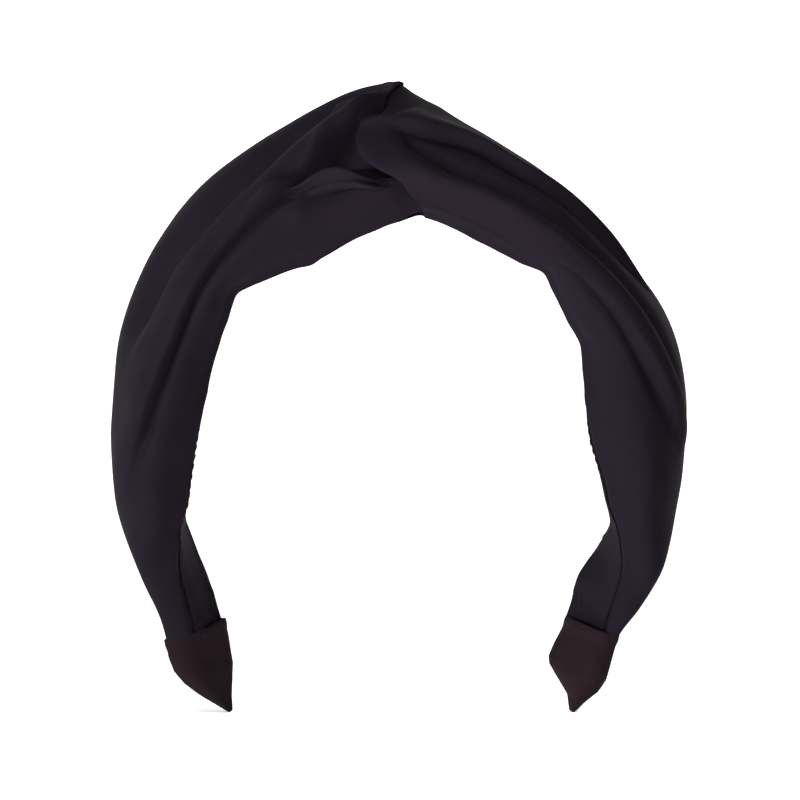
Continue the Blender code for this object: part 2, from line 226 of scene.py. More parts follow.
# each fold's path holds (mm along the band, share of the way from the inner edge to the crest, seen from
# the front); above and below are its widths, and fade says where it starts, is full, ends and is gone
leftFolds = [
    {"name": "long tuck", "kind": "tuck", "height": 3.0, "above": 9.0, "below": 2.6,
     "fade": (-118, -92, 1, 8),
     "path": [(-120, .84), (-116, .74), (-109, .62), (-98, .41), (-85, .27), (-73, .24), (-63, .265),
              (-55, .275), (-46, .30), (-37, .345), (-28, .45), (-20, .585), (-14, .70), (-9, .80),
              (-4, .90), (2, .97)]},
    {"name": "tuck rim", "kind": "ridge", "height": 1.3, "above": 1.6, "below": 1.3,
     "fade": (-46, -34, -3, 3),
     "path": [(-46, .36), (-37, .41), (-28, .50), (-23, .56), (-19, .66), (-14, .75), (-9.4, .84),
              (-5.4, .90), (-2.2, .95), (4, .98)]},
    {"name": "upper hollow", "kind": "ridge", "height": -5.0, "above": 6.0, "below": 3.6,
     "fade": (-90, -60, -6, 2),
     "path": [(-90, .84), (-72, .78), (-58, .77), (-48, .74), (-36, .79), (-24, .885), (-14, .94),
              (-6, .95)]},
    {"name": "lip", "kind": "tuck", "height": 2.8, "above": 2.4, "below": 3.0,
     "fade": (-36, -27, -1, 3),
     "path": [(-44, .33), (-36, .365), (-28, .42), (-21.4, .435), (-15, .385), (-8.6, .315), (-4.2, .26),
              (-1.4, .27), (4, .27)]},
    {"name": "pocket", "kind": "ridge", "height": -5.0, "above": 4.2, "below": 3.0,
     "fade": (-34, -22, 2, 6),
     "path": [(-34, .50), (-22, .54), (-14, .54), (-6, .50), (0, .47)]},
    {"name": "under lip", "kind": "ridge", "height": -5.5, "above": 3.0, "below": 8.0,
     "fade": (-30, -15, 8, 12),
     "path": [(-30, .36), (-20, .29), (-12.6, .195), (-4.6, .09), (3, .06)]},
    {"name": "lower swell", "kind": "ridge", "height": 1.4, "above": 6.0, "below": 6.0,
     "fade": (-70, -50, -30, -18),
     "path": [(-70, .16), (-50, .20), (-30, .20), (-12, .12)]},
]
rightFolds = [
    {"name": "top ridge", "kind": "tuck", "height": 2.6, "above": 5.0, "below": 3.0,
     "fade": (-6, 4, 50, 72),
     "path": [(-6, .72), (0, .70), (6.6, .73), (12, .79), (17, .81), (22, .78), (27, .755), (38, .81),
              (50, .86), (61, .88), (76, .92)]},
    {"name": "long valley", "kind": "ridge", "height": -3.2, "above": 2.8, "below": 4.2,
     "fade": (2, 14, 84, 104),
     "path": [(2, .60), (7, .575), (13, .51), (20, .48), (28, .49), (35, .475), (41, .51), (51, .55),
              (64, .60), (76, .68), (88, .78), (100, .86), (112, .93)]},
    {"name": "lit band", "kind": "ridge", "height": 2.8, "above": 4.6, "below": 5.5,
     "fade": (-4, 8, 90, 112),
     "path": [(-4, .42), (8, .30), (23, .30), (36, .30), (50, .37), (60, .46), (73, .56), (88, .70),
              (97, .80), (112, .93)]},
    {"name": "lower tuck", "kind": "tuck", "height": 2.7, "above": 6.0, "below": 3.0,
     "fade": (34, 46, 88, 108),
     "path": [(34, .03), (41, .05), (46, .11), (53, .19), (60, .24), (66, .28), (73, .31), (82, .39),
              (93, .54), (99, .67), (107, .84), (114, .92)]},
    {"name": "hem groove", "kind": "ridge", "height": -0.9, "above": 0.8, "below": 0.6,
     "fade": (6, 12, 34, 42),
     "path": [(4, .06), (9, .05), (18, .045), (30, .045), (41, .03)]},
    {"name": "lobe crease", "kind": "ridge", "height": -2.4, "above": 1.6, "below": 1.6,
     "fade": (0, 4, 6, 12),
     "path": [(-12, .74), (-7, .71), (0, .62), (8, .58), (12, .57)]},
    {"name": "lobe point", "kind": "ridge", "height": 1.8, "above": 2.2, "below": 2.2,
     "fade": (-12, -8, -5, 1),
     "path": [(-12, .80), (-7, .78), (0, .72)]},
]
knot = {
    # edge between the two panels, from the front inner edge over the crest; the back half is its mirror
    "edge": [(7, .00), (4.8, .05), (2.8, .12), (0, .24), (-2.5, .31), (-5.2, .37), (-8, .46), (-9.9, .57),
             (-9.9, .68), (-8.2, .76), (-5.8, .84), (-3, .92), (0.6, 1.0)],
    "switch": 0.80,            # below this share the right panel lies on top, above it the left
    "sink": [(0, .35), (.12, .85), (.3, 1.1), (.7, 1), (.85, .8), (.93, .4), (1, .25)],
    "crestSwitch": 1.1,
    "rim": [(0, .5), (.25, .6), (.45, 1.1), (.7, 1.4), (.9, 0.9), (1, .6)],
    "flatReach": 12.0,         # the edge rows start this far from the edge
    "edgeRows": 42,
    "sinkFrom": 9.0,           # the lower panel starts to sink this far from the edge
    "sinkOver": 7.5,
    "under": 12.0,             # how far the lower panel runs on beneath the upper
    "depth": 6.5,
    "spread": 42.0,            # the grid is sheared to the edge over this distance
    "tail": 5.0,               # cloth left past the turned rim, and how fast it sinks
    "tailSink": 0.25,
    "rowEase": 0.8,            # below 1 the rows gather towards the rim
    "soft": 0.05,              # half the turn over which the two panels change places
}


def shareToTurn(share):
    return np.arccos(1 - 2 * np.clip(share, 0, 1)) / math.pi


def mirroredFold(fold):
    # the same fold on the back of the other panel: the twist looks alike when turned half round
    start, full, end, gone = fold["fade"]
    return {**fold, "path": [(-a, q) for a, q in reversed(fold["path"])], "back": True,
            "fade": (-gone, -end, -full, -start)}


def smoothstep(x):
    x = np.clip(x, 0, 1)
    return x * x * (3 - 2 * x)


pathWeights = np.array([0.04, 0.12, 0.21, 0.26, 0.21, 0.12, 0.04])
pathBlur = 4.5                 # a fold's path is softened over this much, mm each way
tuck = {"roll": 1.4, "dip": 0.55}    # mm that the cloth rolls over in, and the groove's share of the height


def foldLift(fold, s, t):
    along = s["along"] / mm
    stations = [p[0] for p in fold["path"]]
    turns = shareToTurn(np.array([p[1] for p in fold["path"]]))
    reach = np.linspace(-1, 1, 7)
    centre = sum(np.interp(along + pathBlur * x, stations, turns) * w
                 for x, w in zip(reach, pathWeights))
    away = (t if not fold.get("back") else 2 - t) - centre
    away = away * s["arc"] / mm
    start, full, end, gone = fold["fade"]
    strength = smoothstep((along - start) / (full - start)) * smoothstep((gone - along) / (gone - end))
    if fold["kind"] == "ridge":
        width = np.where(away > 0, fold["above"], fold["below"])
        shape = np.exp(-(away / width) ** 2)
    else:                      # a tuck: cloth rolls over a sharp line, and dips just below it
        rolled = smoothstep(away / tuck["roll"])
        over = rolled * np.exp(-(np.maximum(away - tuck["roll"], 0) / fold["above"]) ** 2)
        dip = -tuck["dip"] * np.exp(-(np.minimum(away, 0) / fold["below"]) ** 2) * (away <= 0)
        shape = over + dip + np.where(away > 0, -tuck["dip"] * (1 - rolled), 0)
    return fold["height"] * mm * strength * shape


def edgeAlong(t):
    # distance along the band of the line between the panels, in mm
    turns = shareToTurn(np.array([p[1] for p in knot["edge"]]))
    places = np.array([p[0] for p in knot["edge"]], float)
    folded = np.where(t > 1, 2 - t, t)
    return np.interp(folded, turns, places) * np.where(t > 1, -1, 1)


def rightOnTop(t):
    first = shareToTurn(np.array(knot["switch"]))
    crest, last = knot["crestSwitch"], 2 - first
    soft = knot["soft"]
    return (1 - smoothstep((t - first + soft) / (2 * soft)) + smoothstep((t - crest + soft) / (2 * soft))
            - smoothstep((t - last + soft) / (2 * soft)))


def edgeRowShape(t, isRight):
    # distance from the edge and lift, in mm, of the rows that finish a panel at the knot
    p = np.linspace(0, 1, knot["edgeRows"])[:, None] + 0 * t
    share = (1 - np.cos(np.pi * np.where(t > 1, 2 - t, t))) / 2
    radius = np.interp(share, *zip(*knot["rim"]))
    flat = knot["flatReach"]
    straight, curl = flat - radius, math.pi * radius
    length = straight + curl + knot["tail"]
    run = p ** knot["rowEase"] * length
    turn = np.clip((run - straight) / radius, 0, math.pi)
    past = np.maximum(run - straight - curl, 0)
    overPlace = np.where(run < straight, flat - run, radius * (1 - np.sin(turn))) + past
    overLift = -radius * (1 - np.cos(turn)) - knot["tailSink"] * past
    underPlace = flat - p * (flat + knot["under"])
    sink = np.interp(share, *zip(*knot["sink"]))
    underLift = -knot["depth"] * sink * smoothstep((knot["sinkFrom"] - underPlace) / knot["sinkOver"])
    top = rightOnTop(t) if isRight else 1 - rightOnTop(t)
    return underPlace + (overPlace - underPlace) * top, underLift + (overLift - underLift) * top


def buildGrid(points, name, closedAround=False):
    rows, columns = points.shape[:2]
    vertices = points.reshape(-1, 3)
    index = np.arange(rows * columns).reshape(rows, columns)
    if closedAround:
        index = np.concatenate([index, index[:, :1]], axis=1)
    corners = [index[:-1, :-1], index[:-1, 1:], index[1:, 1:], index[1:, :-1]]
    quads = np.stack(corners, axis=-1).reshape(-1, 4)
    mesh = bpy.data.meshes.new(name)
    mesh.from_pydata(vertices.tolist(), [], quads.tolist())
    mesh.update()
    made = bpy.data.objects.new(name, mesh)
    bpy.context.collection.objects.link(made)
    return made


def giveUv(made, lengths, widths):
    # u runs along the band and v round it, in metres of cloth
    layer = made.data.uv_layers.new(name="cloth")
    vertexOf = np.zeros(len(made.data.loops), dtype=np.int64)
    made.data.loops.foreach_get("vertex_index", vertexOf)
    uv = np.stack([lengths.reshape(-1)[vertexOf], widths.reshape(-1)[vertexOf]], axis=-1)
    layer.data.foreach_set("uv", uv.reshape(-1))


def outwards(made):
    bm = bmesh.new()
    bm.from_mesh(made.data)
    bmesh.ops.recalc_face_normals(bm, faces=bm.faces[:])
    bm.to_mesh(made.data)
    bm.free()


cover = {
    "rowsPerMm": 1.2,
    "around": 200,
    "cloth": 0.55 * mm,
    "crumple": 0.35,           # mm
    "pastSeam": 2,             # mm hidden in the sleeve
    "calm": 14,                # no fold this near the sleeve in mm, nor in the first 1/14 of the way round
    "tuckIn": 0.15,            # mm that the long edges sink beside the lining
}


def softNoise(along, t, seed):
    # slow uneven swelling of the cloth, as a sum of waves
    rng = np.random.default_rng(seed)
    total = np.zeros(np.broadcast(along, t).shape)
    waves, alongPitch, roundPitch = 14, 0.10, 3.2
    for _ in range(waves):
        alongTurn = rng.normal(0, alongPitch)
        roundTurn = rng.normal(0, roundPitch)
        phase = rng.uniform(0, 2 * math.pi)
        total += np.sin(alongTurn * along / mm + roundTurn * t + phase) / waves ** 0.5
    return total


def makeCover(name, isRight, seed):
    seam, sign = band["seam"] + cover["pastSeam"], 1 if isRight else -1
    flat = knot["flatReach"]
    bodyRows = int((seam - flat) * cover["rowsPerMm"])
    share = np.linspace(0, 1, cover["around"])[None, :]

    def spread(along):
        # from the lining's front edge, round the front, over the crest and down the back
        s = sectionAt(along)
        reach = np.arcsin(np.clip((s["lining"] + 0.2 * mm) / s["half"], 0, 0.97))
        angle = -math.pi / 2 - reach - share * (2 * math.pi - 2 * reach)
        t = seen(s, angle)
        return s, angle, np.where((share < 0.25) & (t > 1.5), t - 2, t)

    body = np.linspace(seam, flat, bodyRows, endpoint=False)[:, None]
    t = spread(body * mm * sign)[2]
    shear = smoothstep(1 - (body - flat) / knot["spread"])
    bodyAlong = body * sign + edgeAlong(t) * shear
    t = spread(np.full((knot["edgeRows"], 1), 0.01 * mm * sign))[2]
    place, drop = edgeRowShape(t, isRight)
    along = np.concatenate([bodyAlong, edgeAlong(t) + place * sign]) * mm
    drop = np.concatenate([np.zeros(bodyAlong.shape), drop]) * mm
    s, angle, t = spread(along)
    folds = rightFolds + [mirroredFold(f) for f in leftFolds]
    if not isRight:
        folds = leftFolds + [mirroredFold(f) for f in rightFolds]
    lift = np.zeros(angle.shape)
    for fold in folds:
        lift = lift + foldLift(fold, s, t)
    lift = lift + cover["crumple"] * mm * softNoise(along, t, seed)
    edgeFade = smoothstep(share * cover["calm"]) * smoothstep((1 - share) * cover["calm"])
    atSeam = smoothstep((seam - np.abs(along) / mm) / cover["calm"])
    lift = (lift + drop) * edgeFade * atSeam - cover["tuckIn"] * mm * (1 - edgeFade)
    points = bandPoint(s, angle, lift)
    made = buildGrid(points, name)
    around = np.cumsum(np.concatenate([np.zeros((len(points), 1)),
                                       np.linalg.norm(np.diff(points, axis=1), axis=-1)], axis=1), axis=1)
    run = np.cumsum(np.concatenate([np.zeros((1, cover["around"])),
                                    np.linalg.norm(np.diff(points, axis=0), axis=-1)], axis=0), axis=0)
    giveUv(made, run, around)
    outwards(made)
    solid = made.modifiers.new("cloth", "SOLIDIFY")
    solid.thickness = cover["cloth"]
    solid.offset = -1
    made.data.shade_smooth()
    corner = points[:-1, :-1]
    patches = np.linalg.norm(np.cross(points[1:, :-1] - corner, points[:-1, 1:] - corner), axis=-1)
    print("cover", name, points.shape)
    return made, (float(around[:, -1].max()), float(run[-1].max()), float(patches.sum()))


leftCover, leftCut = makeCover("cover_left", False, 3)
rightCover, rightCut = makeCover("cover_right", True, 8)


# three foam pads under the cover, parted where the core flexes
foam = {"around": 64, "step": 1.5, "end": 144, "floor": 1.9, "deepest": 0.62, "uneven": 0.12, "parting": 3,
        "inset": [(0, 12.0), (24, 10.5), (45, 7.0), (60, 5.5), (100, 4.5), (118, 3.0), (144, 1.9)]}


def makeFoam(name, start, end):
    along = np.linspace(start, end, int(abs(end - start) / foam["step"]))[:, None] * mm
    s = sectionAt(along)
    s["pullOut"] = np.minimum(s["pullOut"], 0)
    s["pullIn"] = np.maximum(s["pullIn"], 0)
    angle = np.linspace(0, 2 * math.pi, foam["around"], endpoint=False)[None, :]
    inset = np.interp(np.abs(along) / mm, *zip(*foam["inset"])) * mm
    sunk = np.minimum(inset, foam["deepest"] * s["rise"])
    uneven = foam["uneven"] * mm * softNoise(along, angle, 5)
    points = bandPoint(s, angle + 0 * along, -sunk + uneven)
    # its underside lies flat on the core
    x, z, normalX, normalZ = hoopAt(along)
    out = (points[..., 0] - x) * normalX + (points[..., 2] - z) * normalZ
    sine = np.sin(s["lean"])
    across = (points[..., 1] - hoop["middleY"]) * np.cos(s["lean"]) + out * sine
    normal = out * np.cos(s["lean"]) - (points[..., 1] - hoop["middleY"]) * sine
    raised = np.maximum(normal, foam["floor"] * mm)
    radial = across * sine + raised * np.cos(s["lean"])
    y = hoop["middleY"] + across * np.cos(s["lean"]) - raised * sine
    points = np.stack([x + normalX * radial, y, z + normalZ * radial], axis=-1)
    ends = [points[:1].mean(axis=1, keepdims=True), points[-1:].mean(axis=1, keepdims=True)]
    made = buildGrid(points, name, closedAround=True)
    bm = bmesh.new()
    bm.from_mesh(made.data)
    ring = list(bm.verts)
    count = foam["around"]
    for middle, edge in zip(ends, (ring[:count], ring[-count:])):
        hub = bm.verts.new(Vector(middle.reshape(3)))
        for i in range(count):
            bm.faces.new((edge[i], edge[(i + 1) % count], hub))
    bmesh.ops.recalc_face_normals(bm, faces=bm.faces[:])
    bm.to_mesh(made.data)
    bm.free()
    made.data.shade_smooth()
    return made


flexAt = 40                    # mm from the crown's middle to where the core flexes
nearSide, farSide = flexAt - foam["parting"], flexAt + foam["parting"]
foamPieces = {
    "crown": makeFoam("foam_crown_pad", -nearSide, nearSide),
    "left_arm": makeFoam("foam_left_pad", -foam["end"], -farSide),
    "right_arm": makeFoam("foam_right_pad", farSide, foam["end"]),
}
print("foam", len(foamPieces))

lining = {"over": 1.7, "thick": 0.3, "puff": 0.12, "across": 41, "step": 0.8, "end": 158.5,
          "rib": 0.06, "cutExtra": 1.0, "cloth": 0.4, "clear": 0.1, "turned": 0.06}


def liningHalf(along):
    return easedShare(band["coreWidth"], along) * mm / 2 - (band["lap"] - lining["over"]) * mm


def liningPoints(along, share, lift=0.0):
    # share runs from -1 at the front edge to 1 at the back edge
    s = sectionAt(along)
    angle = -math.pi / 2 + np.arcsin(np.clip(liningHalf(along) / s["half"], 0, 0.97)) * share
    thick = (lining["thick"] + lining["puff"] * (1 - share ** 2)) * mm
    rounding = np.clip((np.abs(share) - (1 - lining["turned"])) / lining["turned"], 0, 1)
    turned = np.sqrt(np.clip(1 - rounding ** 2, 0, 1))
    return bandPoint(s, angle, lining["clear"] * mm + thick * turned + lift)


def makeLining(name, sign):
    rows = int(lining["end"] / lining["step"])
    along = np.linspace(0, lining["end"], rows)[:, None] * mm * sign
    share = np.sin(np.linspace(-1, 1, lining["across"]) * math.pi / 2)[None, :]
    ripple = lining["rib"] * mm * softNoise(along * 1.6, share, 21)
    points = liningPoints(along, share + 0 * along, ripple)
    made = buildGrid(points, name)
    widths = liningHalf(along) * share
    giveUv(made, np.broadcast_to(along, widths.shape), widths)
    outwards(made)
    solid = made.modifiers.new("cloth", "SOLIDIFY")
    solid.thickness = lining["cloth"] * mm
    solid.offset = -1
    made.data.shade_smooth()
    half = liningHalf(along[:, 0])
    length = lining["end"] * mm
    return made, 2 * float(half.max()) + lining["cutExtra"] * mm, length, float(2 * half.mean() * length)


leftLining, liningWidth, liningLength, liningArea = makeLining("lining_left", -1)
rightLining = makeLining("lining_right", 1)[0]
print("lining", round(liningWidth, 4), round(liningLength, 4))

sleeve = {
    "mouth": 155.4, "around": 96, "rows": 60, "rim": 0.55, "inside": 3.0,
    "half": [(150, 7.4), (155, 7.6), (160, 7.8), (166, 7.4), (172, 5.4), (176, 3.4), (179.6, 1.5)],
    "rise": [(150, 3.4), (155, 3.5), (160, 3.5), (166, 3.2), (172, 2.5), (176, 1.9), (179.6, 1.2)],
    "leftIn": [(150, -5.2), (155, -5.2), (160, -4.9), (164, -4.3), (168, -3.9), (172, -2.6), (176, -1.1),
               (179.6, -0.2)],
    "leftOut": [(150, 8.9), (155, 9.0), (160, 9.7), (164, 9.5), (168, 8.1), (172, 5.8), (176, 3.1),
                (179.6, 0.7)],
    "rightIn": [(150, -8.0), (155, -8.2), (160, -8.7), (164, -9.3), (168, -9.7), (170, -9.0), (172, -6.9),
                (176, -2.2), (179.6, -0.4)],
    "rightOut": [(150, 4.6), (155, 4.0), (160, 4.2), (168, 4.6), (172, 4.1), (176, 2.2), (179.6, 0.8)],
}


def sleeveSection(along, side):
    distance = np.abs(along) / mm
    values = {key: np.interp(distance, *zip(*sleeve[key])) * mm
              for key in ("half", "rise", f"{side}In", f"{side}Out")}
    s = sectionAt(along, values["half"], values["rise"])
    sine, cosine = np.sin(s["lean"]), np.cos(s["lean"])
    reach = np.sqrt((s["half"] * sine) ** 2 + (s["rise"] * cosine) ** 2)
    s["pullIn"] = values[f"{side}In"] - (s["middle"] * cosine - reach)
    s["pullOut"] = values[f"{side}Out"] - (s["middle"] * cosine + reach)
    s["core"] = s["core"] * 0
    return s


def sleevePoint(along, angle, side, lift=0.0):
    # unlike the cover, the whole section slides and stretches with its two outline edges
    s = sleeveSection(along, side)
    across = s["half"] * np.sign(np.cos(angle)) * np.abs(np.cos(angle)) ** 0.8 + 0
    out = s["middle"] + s["rise"] * np.sign(np.sin(angle)) * np.abs(np.sin(angle)) ** 0.8
    length = np.sqrt((np.cos(angle) / s["half"]) ** 2 + (np.sin(angle) / s["rise"]) ** 2)
    across = across + lift * np.cos(angle) / s["half"] / length
    out = out + lift * np.sin(angle) / s["rise"] / length
    leanSine, leanCosine = np.sin(s["lean"]), np.cos(s["lean"])
    radial = across * leanSine + out * leanCosine
    reach = np.sqrt((s["half"] * leanSine) ** 2 + (s["rise"] * leanCosine) ** 2)
    middle = s["middle"] * leanCosine
    low, high = middle - reach, middle + reach
    share = (radial - low) / (high - low)
    radial = (low + s["pullIn"]) + share * (high + s["pullOut"] - low - s["pullIn"])
    y = hoop["middleY"] + across * leanCosine - out * leanSine
    x, z, normalX, normalZ = hoopAt(along)
    return np.stack([x + normalX * radial, y, z + normalZ * radial], axis=-1)


def makeSleeve(name, side):
    sign = -1 if side == "left" else 1
    angle = np.linspace(0, 2 * math.pi, sleeve["around"], endpoint=False)[None, :]
    mouth, end = sleeve["mouth"], hoop["length"] / mm
    inner = [(mouth + sleeve["inside"], -0.5), (mouth + 1.4, -0.45), (mouth + 0.5, -0.35)]
    rim = [(mouth + sleeve["rim"] * (1 - math.sin(t)), sleeve["rim"] * (0.3 - math.cos(t)))
           for t in np.linspace(0.6, math.pi - 0.6, 9)]
    body = [(mouth + 0.9 + (end - mouth - 0.9) * t, 0.62 - 0.3 * smoothstep((t - 0.02) / 0.1))
            for t in np.linspace(0.0, 1, sleeve["rows"])]
    rings = inner + rim + body
    along = np.array([r[0] for r in rings])[:, None] * mm * sign
    lift = np.array([r[1] for r in rings])[:, None] * mm
    lift = lift + 0.13 * mm * softNoise(along * 2, angle, 31 + sign)
    points = sleevePoint(along + 0 * angle, angle + 0 * along, side, lift)
    made = buildGrid(points, name, closedAround=True)
    around = np.cumsum(np.linalg.norm(np.diff(points, axis=1, prepend=points[:, -1:]), axis=-1), axis=1)
    giveUv(made, np.broadcast_to(along, around.shape), around)
    bm = bmesh.new()
    bm.from_mesh(made.data)
    count = sleeve["around"]
    edge = list(bm.verts)[-count:]
    tip = points[-1].mean(axis=0)
    hub = bm.verts.new(Vector((tip[0], tip[1], 0)))
    for i in range(count):
        bm.faces.new((edge[i], edge[(i + 1) % count], hub))
    bmesh.ops.recalc_face_normals(bm, faces=bm.faces[:])
    bm.to_mesh(made.data)
    bm.free()
    made.data.shade_smooth()
    return made


leftSleeve = makeSleeve("sleeve_left", "left")
rightSleeve = makeSleeve("sleeve_right", "right")
print("sleeves made")


def stitchTree():
    # one short thread at every step of a path, each turned a little by chance
    tree = bpy.data.node_groups.new("stitches", "GeometryNodeTree")
    face = tree.interface
    face.new_socket("Geometry", in_out="INPUT", socket_type="NodeSocketGeometry")
    for name, value in (("Spacing", 2.6 * mm), ("Length", 1.9 * mm), ("Radius", 0.16 * mm), ("Tilt", 0.12)):
        face.new_socket(name, in_out="INPUT", socket_type="NodeSocketFloat").default_value = value
    face.new_socket("Seed", in_out="INPUT", socket_type="NodeSocketInt").default_value = 1
    face.new_socket("Thread", in_out="INPUT", socket_type="NodeSocketMaterial")
    face.new_socket("Geometry", in_out="OUTPUT", socket_type="NodeSocketGeometry")
    nodes, links = tree.nodes, tree.links
    given = nodes.new("NodeGroupInput")
    toCurve = nodes.new("GeometryNodeMeshToCurve")
    spaced = nodes.new("GeometryNodeResampleCurve")
    spaced.mode = "LENGTH"
    ball = nodes.new("GeometryNodeMeshUVSphere")
    ball.inputs["Segments"].default_value = 8
    ball.inputs["Rings"].default_value = 6
    ball.inputs["Radius"].default_value = 1
    halfLength = nodes.new("ShaderNodeMath")
    halfLength.operation = "MULTIPLY"
    halfLength.inputs[1].default_value = 0.5
    size = nodes.new("ShaderNodeCombineXYZ")
    shaped = nodes.new("GeometryNodeTransform")
    tangent = nodes.new("GeometryNodeInputTangent")
    aligned = nodes.new("FunctionNodeAlignRotationToVector")
    aligned.axis = "Z"
    wobble = nodes.new("FunctionNodeRandomValue")
    wobble.data_type = "FLOAT_VECTOR"
    negative = nodes.new("ShaderNodeMath")
    negative.operation = "MULTIPLY"
    negative.inputs[1].default_value = -1
    turned = nodes.new("FunctionNodeRotateRotation")
    turned.rotation_space = "LOCAL"
    toRotation = nodes.new("FunctionNodeEulerToRotation")
    placed = nodes.new("GeometryNodeInstanceOnPoints")
    real = nodes.new("GeometryNodeRealizeInstances")
    smooth = nodes.new("GeometryNodeSetShadeSmooth")
    painted = nodes.new("GeometryNodeSetMaterial")
    result = nodes.new("NodeGroupOutput")
    links.new(given.outputs["Geometry"], toCurve.inputs["Mesh"])
    links.new(toCurve.outputs["Curve"], spaced.inputs["Curve"])
    links.new(given.outputs["Spacing"], spaced.inputs["Length"])
    links.new(given.outputs["Length"], halfLength.inputs[0])
    links.new(given.outputs["Radius"], size.inputs["X"])
    links.new(given.outputs["Radius"], size.inputs["Y"])
    links.new(halfLength.outputs[0], size.inputs["Z"])
    links.new(ball.outputs["Mesh"], shaped.inputs["Geometry"])
    links.new(size.outputs[0], shaped.inputs["Scale"])
    links.new(tangent.outputs[0], aligned.inputs["Vector"])
    links.new(given.outputs["Tilt"], negative.inputs[0])
    links.new(negative.outputs[0], wobble.inputs["Min"])
    links.new(given.outputs["Tilt"], wobble.inputs["Max"])
    links.new(given.outputs["Seed"], wobble.inputs["Seed"])
    links.new(wobble.outputs["Value"], toRotation.inputs["Euler"])
    links.new(aligned.outputs["Rotation"], turned.inputs["Rotation"])
    links.new(toRotation.outputs["Rotation"], turned.inputs["Rotate By"])
    links.new(spaced.outputs["Curve"], placed.inputs["Points"])
    links.new(shaped.outputs["Geometry"], placed.inputs["Instance"])
    links.new(turned.outputs["Rotation"], placed.inputs["Rotation"])
    links.new(placed.outputs["Instances"], real.inputs["Geometry"])
    links.new(real.outputs["Geometry"], smooth.inputs[0])
    links.new(smooth.outputs[0], painted.inputs["Geometry"])
    links.new(given.outputs["Thread"], painted.inputs["Material"])
    links.new(painted.outputs["Geometry"], result.inputs["Geometry"])
    return tree


stitches = stitchTree()
socketOf = {item.name: item.identifier for item in stitches.interface.items_tree
            if item.item_type == "SOCKET" and item.in_out == "INPUT"}


def sewAlong(name, lines, thread, **settings):
    # lines are lists of points; every line becomes a row of stitches
    vertices, edges = [], []
    for line in lines:
        first = len(vertices)
        vertices += [tuple(p) for p in line]
        edges += [(first + i, first + i + 1) for i in range(len(line) - 1)]
    mesh = bpy.data.meshes.new(name)
    mesh.from_pydata(vertices, edges, [])
    path = bpy.data.objects.new(name, mesh)
    bpy.context.collection.objects.link(path)
    modifier = path.modifiers.new("stitches", "NODES")
    modifier.node_group = stitches
    for key, value in settings.items():
        modifier[socketOf[key]] = value
    modifier[socketOf["Thread"]] = thread
    graph = bpy.context.evaluated_depsgraph_get()
    plain = bpy.data.meshes.new_from_object(path.evaluated_get(graph))
    path.modifiers.clear()
    path.data = plain
    if thread.name not in plain.materials:
        plain.materials.append(thread)
    print("stitches", name, len(plain.polygons))
    return path


def clothGroup():
    # fine weave and slow unevenness shared by every woven piece; outputs only values and a height
    group = bpy.data.node_groups.new("clothDetail", "ShaderNodeTree")
    face = group.interface
    face.new_socket("Vector", in_out="INPUT", socket_type="NodeSocketVector")
    for name, value in (("Threads", 3200.0), ("Slub", 60.0), ("Crease", 45.0)):
        face.new_socket(name, in_out="INPUT", socket_type="NodeSocketFloat").default_value = value
    for name in ("Weave", "Cloud", "Wear"):
        face.new_socket(name, in_out="OUTPUT", socket_type="NodeSocketFloat")
    nodes, links = group.nodes, group.links
    given, result = nodes.new("NodeGroupInput"), nodes.new("NodeGroupOutput")

    def wave(direction, scaleNode):
        made = nodes.new("ShaderNodeTexWave")
        made.bands_direction = direction
        made.inputs["Distortion"].default_value = 0.6
        made.inputs["Detail"].default_value = 1
        links.new(given.outputs["Vector"], made.inputs["Vector"])
        links.new(given.outputs[scaleNode], made.inputs["Scale"])
        return made

    warp, weft = wave("X", "Threads"), wave("Y", "Threads")
    weave = nodes.new("ShaderNodeMath")
    weave.operation = "MULTIPLY"
    links.new(warp.outputs["Fac"], weave.inputs[0])
    links.new(weft.outputs["Fac"], weave.inputs[1])
    cloud = nodes.new("ShaderNodeTexNoise")
    cloud.inputs["Detail"].default_value = 3
    links.new(given.outputs["Vector"], cloud.inputs["Vector"])
    links.new(given.outputs["Slub"], cloud.inputs["Scale"])
    wear = nodes.new("ShaderNodeTexNoise")
    wear.inputs["Detail"].default_value = 2
    wear.inputs["Distortion"].default_value = 0.5
    links.new(given.outputs["Vector"], wear.inputs["Vector"])
    links.new(given.outputs["Crease"], wear.inputs["Scale"])
    links.new(weave.outputs[0], result.inputs["Weave"])
    links.new(cloud.outputs["Fac"], result.inputs["Cloud"])
    links.new(wear.outputs["Fac"], result.inputs["Wear"])
    return group


clothDetail = clothGroup()


